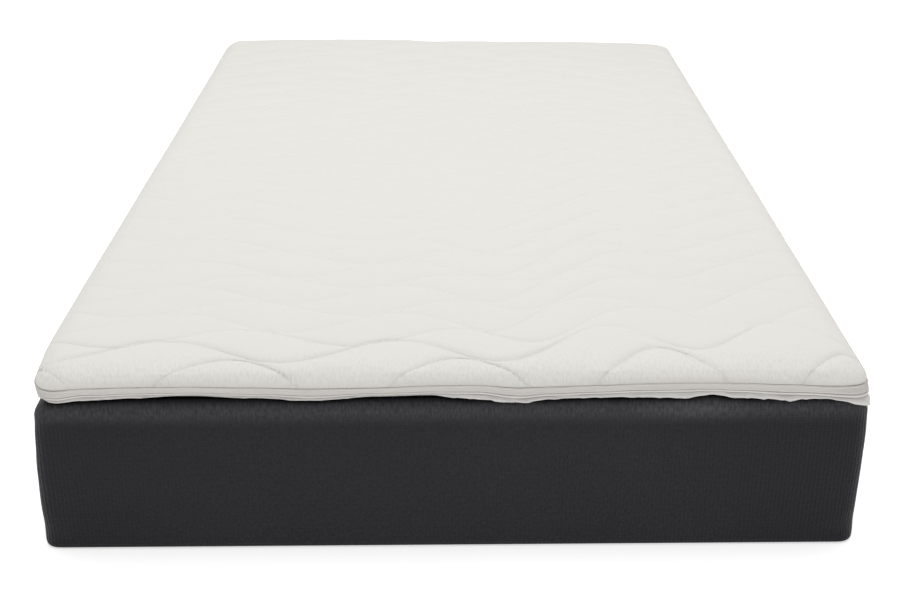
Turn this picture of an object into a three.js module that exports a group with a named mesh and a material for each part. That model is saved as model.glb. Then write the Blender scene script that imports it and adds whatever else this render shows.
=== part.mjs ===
// A mattress with a thin quilted topper lying on it.
// Millimetres, +Z up. The origin is on the floor under the middle, and +Y runs to the head end.
// The mattress is one filled solid. The topper is a quilted pad, the band and the welt that run
// round its side, and the plain base cloth under it, whose rim turns up to the welt.
import * as THREE from 'three';

// Driving dimensions
const bedWidth = 1200;
const bedLength = 2000;
const mattressHeight = 250;
const topperThickness = 42;
const clearance = 0.3;

// Mattress: its edges and the soft swell of its sides
const mattress = {
  cornerRadius: 24,
  topRadius: 28,
  footRadius: 8,
  stepsAcross: 12,
  stepsAlong: 16,
};
// Height as a share of the mattress, and how far each side and both ends stand out there
const mattressSide = [
  { height: 0.05, left: 1.5, right: 2.8, ends: -4 },
  { height: 0.27, left: 3, right: 3.5, ends: -1 },
  { height: 0.5, left: 1.3, right: 3.9, ends: 1 },
  { height: 0.72, left: -2.3, right: 4.5, ends: 1.2 },
  { height: 0.888, left: -5.5, right: 3.1, ends: 0 },
];
// The whole lies slightly askew: its right side is shorter than its left side by this share
const askew = 0.005;

// Topper: outline, shoulder and crown
const topper = {
  halfWidth: bedWidth / 2 - 4,
  halfLength: bedLength / 2 + 1,
  cornerRadius: 46,
  shoulder: 30,
  gridInset: 8,
  crown: 1.5,
  top: mattressHeight + topperThickness - 3,
  widestAt: mattressHeight + 23,
  columns: 36,
  stepsAcross: 34,
  stepsAlong: 24,
};

// Quilting: two families of wavy stitch lines that take turns along the bed
const quilt = {
  firstLine: -bedLength / 2 + 15,
  lineStep: 52.5,
  lines: 39,
  waveLength: 315,
  crestAt: 15,
  tightening: 0.057,
  oddLead: 0.29,
  evenSwing: 28,
  oddSwing: 35,
  puff: 5,
  puffWidth: 42,
  leastStep: 4,
};
// The front right corner was sewn with the cloth stretched: how far each line is pushed
// towards the head end there, and how much wider it swings
const frontStretch = [
  { line: 0, push: 11, swing: 2.2 },
  { line: 1, push: 42, swing: 1.3 },
  { line: 2, push: 68, swing: 1.3 },
  { line: 4, push: 92, swing: 1.15 },
  { line: 6, push: 100, swing: 1 },
  { line: 38, push: 0, swing: 1 },
];
const stretchFrom = 60;
const stretchTo = 300;

// Border of the topper: the band, the welt and the rim of the base cloth
const border = {
  seam: mattressHeight + 18,
  seamAllowance: 0.5,
  bandHeight: 12.5,
  bandThickness: 2.2,
  weltHeight: 4.5,
  weltThickness: 3,
  fullHeight: 18,
  lowestRoom: 2,
  baseThickness: 1.4,
};
// How far in from the topper's outline and how far down each edge lies, in two columns:
// where the base cloth is tucked in and where it sags out
const tuckedOrSagging = {
  bandFootInset: [4, 2],
  weltInset: [8.5, 4],
  foldInset: [9, 3],
  turnInset: [12, 4],
  turnDrop: [0.6, 11],
  turnThickness: [1.4, 2.6],
  turnWidth: [1.2, 2.5],
  flatInset: [20, 15],
  flatDrop: [0.2, 0.8],
};
// Along both sides and the head end the seam wavers and the cloth sags in two slow waves
const waver = {
  longWave: { size: 1.4, along: 190, across: 230 },
  shortWave: { size: 1.1, along: 83, across: 61 },
  sag: { middle: 0.4, size: 0.3, along: 140, across: 97, start: 2 },
};
// Along the foot end: how far the seam rises and how much the base cloth sags out there
const footBorder = [
  { at: -600, rise: 0, sag: 0.6 },
  { at: -553, rise: 0, sag: 0.75 },
  { at: -448, rise: 2.5, sag: 0.3 },
  { at: -375, rise: 2.9, sag: 0 },
  { at: -279, rise: 1, sag: 0.15 },
  { at: -195, rise: -1.5, sag: 0.5 },
  { at: -110, rise: -0.6, sag: 0.1 },
  { at: -26, rise: 2.5, sag: 0.05 },
  { at: 37, rise: 3.1, sag: 0.45 },
  { at: 100, rise: -2, sag: 1 },
  { at: 143, rise: -0.5, sag: 0.5 },
  { at: 206, rise: 1.3, sag: 0.3 },
  { at: 311, rise: 4.5, sag: 0.4 },
  { at: 375, rise: 4.3, sag: 0.05 },
  { at: 480, rise: 0.7, sag: 0.75 },
  { at: 600, rise: 0, sag: 1 },
];
// At the front right corner the border is pushed out and squeezed
const flare = {
  reach: 110,
  out: 11,
  bandTopShare: 0.25,
  bandFootShare: 0.7,
  shrink: 0.3,
};
// Along the head end: how far the topper's top rises
const headTop = [
  { at: -600, rise: 6 },
  { at: -450, rise: 10 },
  { at: -120, rise: 10 },
  { at: -50, rise: 5 },
  { at: 170, rise: 4.5 },
  { at: 450, rise: 1 },
  { at: 600, rise: -5 },
];
const headFrom = 650;
// The seam follows this share of the rise, and the foot end's table fades out along the sides
const seamShare = 0.4;
const footReach = 130;
const cornerReach = 20;

const mix = (a, b, t) => a + (b - a) * t;

function smooth(t) {
  const c = Math.min(Math.max(t, 0), 1);
  return c * c * (3 - 2 * c);
}

// Reads a column of a table at a place between its rows, without sharp turns
function readTable(table, key, place, column) {
  if (place <= table[0][key]) return table[0][column];
  for (let i = 1; i < table.length; i++) {
    const low = table[i - 1];
    const high = table[i];
    if (place <= high[key]) {
      const t = (place - low[key]) / (high[key] - low[key]);
      return mix(low[column], high[column], smooth(t));
    }
  }
  return table[table.length - 1][column];
}

// Moves a point of a square-cornered rectangle onto the same rectangle with round corners
function roundCorner(x, y, halfWidth, halfLength, radius) {
  const a = Math.abs(x) - (halfWidth - radius);
  const b = Math.abs(y) - (halfLength - radius);
  if (a <= 0 || b <= 0) return [x, y];
  const scale = Math.max(a, b) / Math.hypot(a, b);
  const roundX = halfWidth - radius + a * scale;
  const roundY = halfLength - radius + b * scale;
  return [Math.sign(x) * roundX, Math.sign(y) * roundY];
}

// Places along one side: both corners at even angles, and even steps between them
function sidePlaces(half, radius, steps) {
  const tangents = [15, 30, 45].map((angle) => Math.tan(THREE.MathUtils.degToRad(angle)));
  const corner = tangents.map((tangent) => half - radius + radius * tangent);
  const places = corner.map((place) => -place).reverse();
  for (let i = 0; i <= steps; i++) places.push(mix(-half + radius, half - radius, i / steps));
  places.push(...corner);
  return places;
}

// Points round a square-cornered rectangle, anticlockwise from its front left corner
function squareLoop(across, along) {
  const [left, right] = [across[0], across[across.length - 1]];
  const [front, back] = [along[0], along[along.length - 1]];
  return [
    ...across.map((x) => [x, front]),
    ...along.slice(1).map((y) => [right, y]),
    ...across.slice(0, -1).reverse().map((x) => [x, back]),
    ...along.slice(1, -1).reverse().map((y) => [left, y]),
  ];
}

// A closed body from points and triangles
function bodyMesh(name, points, triangles, color, roughness) {
  const placed = points.map(([x, y, z]) => [x, y * (1 - askew * x / (bedWidth / 2)), z]);
  const geometry = new THREE.BufferGeometry();
  geometry.setAttribute('position', new THREE.Float32BufferAttribute(placed.flat(), 3));
  geometry.setIndex(triangles.flat());
  geometry.computeVertexNormals();
  const material = new THREE.MeshStandardMaterial({ color, roughness, metalness: 0 });
  const mesh = new THREE.Mesh(geometry, material);
  mesh.name = name;
  return mesh;
}

// Triangles between two loops of the same length, the second one further along the skin.
// Skins that lie back to back slant their triangles the same way, so one of them is mirrored.
function joinLoops(first, second, triangles, mirrored = false) {
  for (let i = 0; i < first.length; i++) {
    const next = (i + 1) % first.length;
    if (mirrored) {
      triangles.push([first[i], first[next], second[i]]);
      triangles.push([first[next], second[next], second[i]]);
    } else {
      triangles.push([first[i], first[next], second[next]]);
      triangles.push([first[i], second[next], second[i]]);
    }
  }
}

// Flat cap on a loop that runs anticlockwise seen from above
function capLoop(loop, points, facesUp, triangles) {
  const contour = loop.map((index) => new THREE.Vector2(points[index][0], points[index][1]));
  for (const [a, b, c] of THREE.ShapeUtils.triangulateShape(contour, [])) {
    triangles.push(facesUp ? [loop[a], loop[b], loop[c]] : [loop[a], loop[c], loop[b]]);
  }
}

function addLoop(points, loopPoints) {
  const start = points.length;
  points.push(...loopPoints);
  return loopPoints.map((_, index) => start + index);
}

// The mattress: loops from the flat underside up the side and over the top edge
function makeMattress() {
  const halfWidth = bedWidth / 2;
  const halfLength = bedLength / 2;
  const across = sidePlaces(halfWidth, mattress.cornerRadius, mattress.stepsAcross);
  const along = sidePlaces(halfLength, mattress.cornerRadius, mattress.stepsAlong);
  const square = squareLoop(across, along);

  const levels = [];
  const foot = mattress.footRadius;
  for (const angle of [0, 45]) {
    const turn = THREE.MathUtils.degToRad(angle);
    const z = foot * (1 - Math.cos(turn));
    levels.push({ z, inset: foot * (1 - Math.sin(turn)), swell: mattressSide[0] });
  }
  for (const swell of mattressSide) levels.push({ z: mattressHeight * swell.height, inset: 0, swell });
  const edge = mattress.topRadius;
  const upper = mattressSide[mattressSide.length - 1];
  for (const angle of [25, 50, 72, 90]) {
    const turn = THREE.MathUtils.degToRad(angle);
    const left = mix(upper.left, 0, angle / 90);
    const right = mix(upper.right, 0, angle / 90);
    const z = mattressHeight - edge * (1 - Math.sin(turn));
    levels.push({ z, inset: edge * (1 - Math.cos(turn)), swell: { left, right, ends: 0 } });
  }

  const points = [];
  const triangles = [];
  const loops = levels.map(({ z, inset, swell }) => addLoop(points, square.map(([x, y]) => {
    const wide = halfWidth - inset;
    const long = halfLength - inset;
    const radius = Math.max(mattress.cornerRadius - inset, 2);
    const [px, py] = roundCorner(x * wide / halfWidth, y * long / halfLength, wide, long, radius);
    const side = px < 0 ? swell.left : swell.right;
    return [px * (1 + side / wide), py * (1 + swell.ends / long), z];
  })));
  for (let i = 1; i < loops.length; i++) joinLoops(loops[i - 1], loops[i], triangles);
  capLoop(loops[0], points, false, triangles);
  capLoop(loops[loops.length - 1], points, true, triangles);
  return bodyMesh('mattress', points, triangles, 0x303136, 0.95);
}

// Where stitch line number `line` runs at x: even lines and odd lines are two wave families
function stitchLine(line, x) {
  const t = (x - quilt.crestAt) / quilt.waveLength;
  const odd = line % 2 === 1;
  const turns = t + quilt.tightening * t * t + (odd ? quilt.oddLead : 0);
  const right = smooth((x - stretchFrom) / (stretchTo - stretchFrom));
  const push = readTable(frontStretch, 'line', line, 'push') * right;
  const wider = mix(1, readTable(frontStretch, 'line', line, 'swing'), right);
  const first = line === 0 ? 1.25 : 1;
  const swing = (odd ? quilt.oddSwing : quilt.evenSwing) * wider * (odd ? 1 : first);
  return quilt.firstLine + line * quilt.lineStep + push + swing * Math.cos(2 * Math.PI * turns);
}

// How far the head end lifts the topper's top at a point
function headRiseAt(x, y) {
  const atHead = smooth((y - headFrom) / (topper.halfLength - headFrom));
  return atHead * readTable(headTop, 'at', x, 'rise');
}

function wave({ size, along, across, start = 0 }, x, y) {
  return size * Math.sin(y / along + x / across + start);
}

// How far the seam rises and the base cloth sags at a point of the topper's edge
function borderAt(x, y) {
  const atFoot = smooth((footReach - y - topper.halfLength) / (footReach - cornerReach));
  const wavering = wave(waver.longWave, x, y) + wave(waver.shortWave, x, y);
  const sideRise = wavering + seamShare * headRiseAt(x, y);
  const sideSag = waver.sag.middle + wave(waver.sag, x, y);
  return {
    rise: mix(sideRise, readTable(footBorder, 'at', x, 'rise'), atFoot),
    sag: mix(sideSag, readTable(footBorder, 'at', x, 'sag'), atFoot),
  };
}

const between = ([tucked, sagging], sag) => mix(tucked, sagging, sag);

// Heights and insets of the border's edges, from the seam down to where the base cloth turns under.
// Where the seam is low, the band and the welt are squeezed together.
function borderEdges(x, y) {
  const { rise, sag } = borderAt(x, y);
  const toCorner = Math.hypot(x - topper.halfWidth, y + topper.halfLength);
  const flared = smooth(1 - toCorner / flare.reach);
  const room = Math.min((border.seam + rise - mattressHeight - border.lowestRoom) / border.fullHeight, 1);
  const squeeze = room * (1 - flare.shrink * flared);
  const bandTop = border.seam + rise - border.seamAllowance;
  const bandFoot = bandTop - border.bandHeight * squeeze;
  const weltTop = bandFoot - clearance;
  const weltFoot = weltTop - border.weltHeight * squeeze;
  return {
    rise,
    sag,
    out: flare.out * flared,
    seam: border.seam + rise,
    bandTop,
    bandFoot,
    weltTop,
    weltFoot,
    rimTop: weltFoot - 2 * clearance,
    bandTopInset: 1 - flare.bandTopShare * flare.out * flared,
    bandFootInset: between(tuckedOrSagging.bandFootInset, sag) - flare.bandFootShare * flare.out * flared,
    weltInset: between(tuckedOrSagging.weltInset, sag) - flare.out * flared,
  };
}

// Columns of the pad's top, with two extra ones at each rounded corner
function padColumns() {
  const half = topper.halfWidth - topper.gridInset;
  const radius = topper.cornerRadius - topper.gridInset;
  const places = [-half, -half + radius * (1 - Math.tan(Math.PI / 8))];
  for (let i = 0; i <= topper.columns; i++) {
    places.push(mix(-half + radius, half - radius, i / topper.columns));
  }
  places.push(half - radius * (1 - Math.tan(Math.PI / 8)), half);
  return places;
}

// Rows of the pad's top at one column: the foot edge, then a puffed row and a stitched row for
// each line, then the head edge. Lines that would leave the pad run along its edge.
function padRows(x) {
  const half = topper.halfLength - topper.gridInset;
  const stitched = [];
  for (let line = 0; line < quilt.lines; line++) {
    const lowest = -half + 5 + line * 6;
    const highest = half - 5 - (quilt.lines - 1 - line) * 6;
    const place = Math.min(Math.max(stitchLine(line, x), lowest), highest);
    const before = line === 0 ? -half : stitched[line - 1] + quilt.leastStep;
    stitched.push(Math.max(place, before));
  }
  const rows = [{ y: -half, puff: 0 }];
  let last = -half;
  for (const y of [...stitched, half]) {
    const room = y - last;
    const puff = quilt.puff * (1 - Math.exp(-((room / quilt.puffWidth) ** 2)));
    rows.push({ y: (last + y) / 2, puff });
    rows.push({ y, puff: 0 });
    last = y;
  }
  return rows;
}

// Distance in from the topper's outline
function insetOf(x, y) {
  const a = Math.abs(x) - (topper.halfWidth - topper.cornerRadius);
  const b = Math.abs(y) - (topper.halfLength - topper.cornerRadius);
  if (a > 0 && b > 0) return topper.cornerRadius - Math.hypot(a, b);
  return topper.cornerRadius - Math.max(a, b);
}

// Height of the pad's top: crown, soft shoulder and the puff between stitch lines
function padHeight(x, y, puff) {
  const inset = Math.max(insetOf(x, y), 0);
  const drop = Math.max(1 - inset / topper.shoulder, 0);
  const rounding = Math.sqrt(1 - drop * drop);
  const crown = topper.crown * (1 - (x / topper.halfWidth) ** 4) * (1 - (y / topper.halfLength) ** 4);
  const widest = topper.widestAt + 0.5 * borderAt(x, y).rise * drop;
  const top = topper.top + crown + headRiseAt(x, y);
  return mix(widest, top, rounding) + puff * smooth(inset / topper.shoulder);
}

// A loop around the topper at an inset and a height that may change along it
function topperLoop(square, insetAt, heightAt) {
  return square.map(([x, y, edges]) => {
    const inset = insetAt(edges);
    const wide = topper.halfWidth - inset;
    const long = topper.halfLength - inset;
    const fitX = x * wide / topper.halfWidth;
    const fitY = y * long / topper.halfLength;
    const [px, py] = roundCorner(fitX, fitY, wide, long, topper.cornerRadius - inset);
    return [px, py, heightAt(edges, px, py)];
  });
}

// Height of the mattress under a point: flat, then down over its rounded top edge
function mattressTopAt(x, y) {
  const a = Math.abs(x) - (bedWidth / 2 - mattress.cornerRadius);
  const b = Math.abs(y) - (bedLength / 2 - mattress.cornerRadius);
  const reach = (a > 0 && b > 0 ? Math.hypot(a, b) : Math.max(a, b)) - mattressSide.at(-1).right;
  const over = Math.min(Math.max(reach - mattress.cornerRadius + mattress.topRadius, 0), mattress.topRadius);
  return mattressHeight - mattress.topRadius + Math.sqrt(mattress.topRadius ** 2 - over ** 2);
}

// How far along the square-cornered outline a point lies, from the front left corner
function placeAlong(x, y, halfWidth, halfLength) {
  const u = x / halfWidth;
  const v = y / halfLength;
  if (v <= -1 && u < 1) return u + 1;
  if (u >= 1 && v < 1) return v + 3;
  if (v >= 1 && u > -1) return 5 - u;
  return 7 - v;
}

// Triangles between two loops with different points, matched by their places along the outline
function zipLoops(lower, upper, triangles) {
  let i = 0;
  let j = 0;
  while (i < lower.length || j < upper.length) {
    const low = lower[i % lower.length];
    const up = upper[j % upper.length];
    const lowNext = i + 1 < lower.length ? lower[i + 1] : { index: lower[0].index, place: 8 };
    const upNext = j + 1 < upper.length ? upper[j + 1] : { index: upper[0].index, place: 8 };
    if (j >= upper.length || (i < lower.length && lowNext.place <= upNext.place)) {
      triangles.push([low.index, lowNext.index, up.index]);
      i += 1;
    } else {
      triangles.push([low.index, upNext.index, up.index]);
      j += 1;
    }
  }
}

function makePad(columns, rows, outline) {
  const points = [];
  const triangles = [];
  const rowCount = rows[0].length;
  const half = topper.halfWidth - topper.gridInset;
  const long = topper.halfLength - topper.gridInset;
  const radius = topper.cornerRadius - topper.gridInset;
  const at = (i, j) => i * rowCount + j;
  for (let i = 0; i < columns.length; i++) {
    for (let j = 0; j < rowCount; j++) {
      const [x, y] = roundCorner(columns[i], rows[i][j].y, half, long, radius);
      points.push([x, y, padHeight(x, y, rows[i][j].puff)]);
    }
  }
  for (let i = 0; i + 1 < columns.length; i++) {
    for (let j = 0; j + 1 < rowCount; j++) {
      triangles.push([at(i, j), at(i + 1, j), at(i + 1, j + 1)]);
      triangles.push([at(i, j), at(i + 1, j + 1), at(i, j + 1)]);
    }
  }

  const padFoot = mattressHeight + clearance + border.baseThickness + clearance;
  const behindWelt = (e) => e.bandFootInset + border.weltThickness + 0.5 + clearance;
  const widest = addLoop(points, topperLoop(outline, () => 0, (e) => topper.widestAt + 0.5 * e.rise));
  const behindBand = (e) => e.bandTopInset + border.bandThickness + clearance + 0.2;
  const seam = addLoop(points, topperLoop(outline, behindBand, (e) => e.seam));
  const waist = addLoop(points, topperLoop(outline, behindWelt, (e) => Math.max(e.bandFoot, padFoot + 3)));
  const under = addLoop(points, topperLoop(outline, (e) => e.weltInset + 6, () => padFoot));

  const last = columns.length - 1;
  const rim = [
    ...columns.map((_, i) => [i, 0]),
    ...rows[last].slice(1).map((_, j) => [last, j + 1]),
    ...columns.slice(0, -1).map((_, i) => [last - 1 - i, rowCount - 1]),
    ...rows[0].slice(1, -1).map((_, j) => [0, rowCount - 2 - j]),
  ];
  const upper = rim.map(([i, j]) => (
    { index: at(i, j), place: placeAlong(columns[i], rows[i][j].y, half, long) }));
  const lower = outline.map(([x, y], k) => (
    { index: widest[k], place: placeAlong(x, y, topper.halfWidth, topper.halfLength) }));
  zipLoops(lower, upper, triangles);
  joinLoops(seam, widest, triangles);
  joinLoops(waist, seam, triangles);
  joinLoops(under, waist, triangles);
  capLoop(under, points, false, triangles);
  return bodyMesh('topper_pad', points, triangles, 0xe7e5df, 0.9);
}

// A strip that runs round the topper: foot and top of its outer face, then of its inner face
function makeStrip(name, outline, strip, color) {
  const points = [];
  const triangles = [];
  const corners = [
    [strip.footInset, strip.foot],
    [strip.topInset, strip.top],
    [(e) => strip.topInset(e) + strip.thickness, strip.top],
    [(e) => strip.footInset(e) + strip.thickness, strip.foot],
  ];
  const loops = corners.map(([inset, height]) => addLoop(points, topperLoop(outline, inset, height)));
  const [foot, top, innerTop, innerFoot] = loops;
  joinLoops(foot, top, triangles);
  joinLoops(top, innerTop, triangles);
  joinLoops(innerTop, innerFoot, triangles, true);
  joinLoops(innerFoot, foot, triangles);
  return bodyMesh(name, points, triangles, color, 0.85);
}

function makeBand(outline) {
  return makeStrip('topper_band', outline, {
    foot: (e) => e.bandFoot,
    top: (e) => e.bandTop,
    footInset: (e) => e.bandFootInset,
    topInset: (e) => e.bandTopInset,
    thickness: border.bandThickness,
  }, 0xd6d3cc);
}

function makeWelt(outline) {
  return makeStrip('topper_welt', outline, {
    foot: (e) => e.weltFoot,
    top: (e) => e.weltTop,
    footInset: (e) => e.weltInset - 1,
    topInset: (e) => e.bandFootInset + 0.5,
    thickness: border.weltThickness,
  }, 0xdedbd5);
}

// The base cloth: a thin sheet on the mattress whose rim sags over the edge and turns up to the welt
function makeBase(outline) {
  const bed = mattressHeight + clearance;
  const sheet = border.baseThickness;
  const lowest = (x, y) => Math.min(mattressTopAt(x, y) + 3 * clearance, bed);
  const resting = (drop) => (e, x, y) => Math.max(bed - drop(e), lowest(x, y));
  const turnDrop = (e) => between(tuckedOrSagging.turnDrop, e.sag);
  const turnThickness = (e) => between(tuckedOrSagging.turnThickness, e.sag);
  const flatHeight = resting((e) => between(tuckedOrSagging.flatDrop, e.sag));
  const edgeHeight = resting((e) => 0.4 * turnDrop(e));
  const turnHeight = resting(turnDrop);
  const flatInset = (e) => between(tuckedOrSagging.flatInset, e.sag);
  const turnInset = (e) => between(tuckedOrSagging.turnInset, e.sag) - e.out;
  const edgeInset = (e) => mix(turnInset(e), flatInset(e), 0.5);
  const foldInset = (e) => between(tuckedOrSagging.foldInset, e.sag) - e.out;
  const outer = [
    { inset: () => mattress.topRadius, height: () => bed },
    { inset: flatInset, height: flatHeight },
    { inset: edgeInset, height: edgeHeight },
    { inset: turnInset, height: turnHeight },
    { inset: foldInset, height: (e, x, y) => mix(turnHeight(e, x, y), e.rimTop, 0.45) },
    { inset: (e) => e.weltInset, height: (e) => e.rimTop },
  ];
  const inner = [
    { inset: (e) => e.weltInset + sheet, height: (e) => e.rimTop },
    {
      inset: (e) => foldInset(e) + sheet,
      height: (e, x, y) => mix(turnHeight(e, x, y) + sheet, e.rimTop, 0.5),
    },
    {
      inset: (e) => turnInset(e) + between(tuckedOrSagging.turnWidth, e.sag),
      height: (e, x, y) => turnHeight(e, x, y) + turnThickness(e),
    },
    { inset: edgeInset, height: (e, x, y) => edgeHeight(e, x, y) + sheet },
    { inset: flatInset, height: (e, x, y) => flatHeight(e, x, y) + sheet },
    { inset: () => mattress.topRadius, height: () => bed + sheet },
  ];
  const points = [];
  const triangles = [];
  const section = [...outer, ...inner];
  const loops = section.map(({ inset, height }) => addLoop(points, topperLoop(outline, inset, height)));
  for (let i = 1; i < loops.length; i++) joinLoops(loops[i - 1], loops[i], triangles, i > outer.length);
  capLoop(loops[0], points, false, triangles);
  capLoop(loops[loops.length - 1], points, true, triangles);
  return bodyMesh('topper_base', points, triangles, 0xe2e0da, 0.9);
}

function makeTopper() {
  const columns = padColumns();
  const rows = columns.map(padRows);
  const across = sidePlaces(topper.halfWidth, topper.cornerRadius, topper.stepsAcross);
  const along = sidePlaces(topper.halfLength, topper.cornerRadius, topper.stepsAlong);
  const outline = squareLoop(across, along).map(([x, y]) => [x, y, borderEdges(x, y)]);
  const group = new THREE.Group();
  group.add(makePad(columns, rows, outline), makeBand(outline), makeWelt(outline), makeBase(outline));
  return group;
}

const group = new THREE.Group();
group.add(makeMattress(), makeTopper());

export default group;
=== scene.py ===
# A dark knitted mattress with a thin quilted topper lying loose on it, seen from its foot end.
# The scene is in metres, with the floor at 0 and +Y running to the head end. The sizes and tables
# of the bed are in millimetres.
import math
from types import SimpleNamespace

import bpy
import numpy as np
from mathutils import Matrix


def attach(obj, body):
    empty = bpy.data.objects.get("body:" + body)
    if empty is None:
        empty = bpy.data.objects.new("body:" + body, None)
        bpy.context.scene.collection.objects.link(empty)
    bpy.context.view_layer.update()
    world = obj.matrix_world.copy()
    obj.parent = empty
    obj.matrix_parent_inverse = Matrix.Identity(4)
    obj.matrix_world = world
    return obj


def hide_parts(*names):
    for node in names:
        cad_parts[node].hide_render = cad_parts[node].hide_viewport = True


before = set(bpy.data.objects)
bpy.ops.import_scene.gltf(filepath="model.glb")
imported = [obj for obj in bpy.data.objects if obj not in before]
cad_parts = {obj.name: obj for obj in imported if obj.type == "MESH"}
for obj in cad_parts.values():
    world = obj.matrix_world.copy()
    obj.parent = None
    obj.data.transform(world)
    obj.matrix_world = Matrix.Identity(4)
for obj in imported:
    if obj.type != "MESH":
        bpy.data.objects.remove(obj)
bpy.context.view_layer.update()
mm = 0.001

# Camera, light and floor
view = SimpleNamespace(
    place=(-0.0028, -2.738, 1.169),
    down=23.8,    # degrees below level
    turn=-0.145,  # degrees, a little to the right
    roll=-0.08,
    focus=1388,   # in the units of the picture's width
    pictureWidth=900,
    sensor=36,
)


def addCamera():
    camera = bpy.data.objects.new("camera", bpy.data.cameras.new("camera"))
    bpy.context.scene.collection.objects.link(camera)
    camera.data.sensor_width = view.sensor
    camera.data.lens = view.focus * view.sensor / view.pictureWidth
    camera.data.clip_end = 100
    turn = Matrix.Rotation(math.radians(view.turn), 4, "Z")
    tilt = Matrix.Rotation(math.radians(90 - view.down), 4, "X")
    roll = Matrix.Rotation(math.radians(view.roll), 4, "Z")
    camera.matrix_world = Matrix.Translation(view.place) @ turn @ tilt @ roll
    bpy.context.scene.camera = camera


addCamera()
print("camera ready")

studio = {
    "skyStrength": 0.42,
    "topLight": {"size": 4.6, "height": 3.8, "forward": 0.1, "power": 120.5, "tilt": -8},
    "frontLight": {"size": 2.0, "height": 2.2, "forward": -4.6, "power": 10, "tilt": 70},
    "floorSize": 60,
    "floorColour": (0.93, 0.93, 0.93, 1),
    "floorGlow": 0.52,
}


def newMaterial(name):
    material = bpy.data.materials.new(name)
    material.use_nodes = True
    tree = material.node_tree
    return material, tree, tree.nodes["Principled BSDF"]


# Gives a node's inputs their values, which are plain ones or come from other nodes
def feed(tree, node, values):
    for name, value in values.items():
        if isinstance(value, bpy.types.NodeSocket):
            tree.links.new(value, node.inputs[name])
        else:
            node.inputs[name].default_value = value


def addLight(name):
    facts = studio[name]
    data = bpy.data.lights.new(name, "AREA")
    data.shape = "SQUARE"
    data.size = facts["size"]
    data.energy = facts["power"]
    light = bpy.data.objects.new(name, data)
    bpy.context.scene.collection.objects.link(light)
    light.location = (0, facts["forward"], facts["height"])
    light.rotation_euler = (math.radians(facts["tilt"]), 0, 0)


def addStudio():
    bpy.context.scene.view_settings.view_transform = "Standard"
    world = bpy.data.worlds.new("softWhite")
    world.use_nodes = True
    sky = world.node_tree.nodes["Background"]
    feed(world.node_tree, sky, {"Color": (1, 1, 1, 1), "Strength": studio["skyStrength"]})
    bpy.context.scene.world = world
    addLight("topLight")
    addLight("frontLight")

    bpy.ops.mesh.primitive_plane_add(size=studio["floorSize"], location=(0, 0, -0.0005))
    floor = bpy.context.object
    floor.name = "floor"
    material, tree, shader = newMaterial("floorPaint")
    feed(tree, shader, {
        "Base Color": studio["floorColour"],
        "Roughness": 0.9,
        "Emission Color": (1, 1, 1, 1),
        "Emission Strength": studio["floorGlow"],
    })
    floor.data.materials.append(material)


addStudio()
print("studio ready")


# Small helpers
def mix(a, b, t):
    return a + (b - a) * t


def smooth(t):
    c = np.clip(t, 0, 1)
    return c * c * (3 - 2 * c)


# 0 up to the start, and 1 once it is over
def ramp(value, start, over):
    return smooth((value - start) / over)


# 1 until this much before its end, and 0 from its end on
def fade(value, end, over):
    return smooth((end - value) / over)


# 1 at a place and 0 where the distance from it is the reach
def near(distance, reach):
    return smooth(1 - distance / reach)


# Reads a table of (place, value, value ...) rows at many places, without sharp turns
def readTable(table, places, column=1):
    rows = np.array(table, float)
    keys = rows[:, 0]
    at = np.clip(np.searchsorted(keys, places, side="left"), 1, len(keys) - 1)
    low = keys[at - 1]
    share = smooth((places - low) / (keys[at] - low))
    return mix(rows[at - 1, column], rows[at, column], share)


# All the values of a table at one place
def rowAt(table, place):
    return [readTable(table, np.array([place]), column)[0] for column in range(1, len(table[0]))]


# Reads one property of all points, edges, corners or faces
def readAll(things, name, kind, size=1):
    values = np.empty(len(things) * size, kind)
    things.foreach_get(name, values)
    return values if size == 1 else values.reshape(-1, size)


def pointsOf(piece):
    return readAll(piece.data.vertices, "co", float, 3)


def placePoints(piece, points):
    piece.data.vertices.foreach_set("co", np.ascontiguousarray(points, np.float32).ravel())
    piece.data.update()


def deselectAll():
    for thing in bpy.context.selected_objects:
        thing.select_set(False)


def makeActive(piece):
    deselectAll()
    piece.select_set(True)
    bpy.context.view_layer.objects.active = piece


def edit(piece, kind="VERT"):
    makeActive(piece)
    bpy.ops.object.mode_set(mode="EDIT")
    bpy.ops.mesh.select_mode(type=kind)


def editAll(piece):
    edit(piece)
    bpy.ops.mesh.select_all(action="SELECT")


def objectMode():
    bpy.ops.object.mode_set(mode="OBJECT")


# New levels of a collar or a grid stand this far apart until they are placed
levelStep = 0.01


def levelsOf(heights):
    return np.rint(heights / levelStep).astype(int)


# Selects edges by a test of their two end points, which come as arrays in metres
def selectEdges(piece, test):
    objectMode()
    points = pointsOf(piece)
    ends = readAll(piece.data.edges, "vertices", np.int32, 2)
    chosen = test(points[ends[:, 0]], points[ends[:, 1]])
    piece.data.polygons.foreach_set("select", np.zeros(len(piece.data.polygons), bool))
    picked = np.zeros(len(points), bool)
    picked[ends[chosen].ravel()] = True
    piece.data.vertices.foreach_set("select", picked)
    piece.data.edges.foreach_set("select", chosen)
    edit(piece, "EDGE")


def saveNumbers(piece, name, values):
    store = piece.data.attributes.new(name, "FLOAT", "POINT")
    store.data.foreach_set("value", np.ascontiguousarray(values, np.float32))


def readNumbers(piece, name):
    return readAll(piece.data.attributes[name].data, "value", np.float32)


# Writes a UV map in metres: one place on the flat cloth for each corner of each face
def saveFlatPlaces(piece, name, places):
    saveCorners(piece, name, places[readAll(piece.data.loops, "vertex_index", np.int32)])


def saveCorners(piece, name, places):
    layer = piece.data.uv_layers.new(name=name)
    layer.data.foreach_set("uv", np.ascontiguousarray(places, np.float32).ravel())


def shadeSmooth(piece):
    makeActive(piece)
    bpy.ops.object.shade_smooth()


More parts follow.
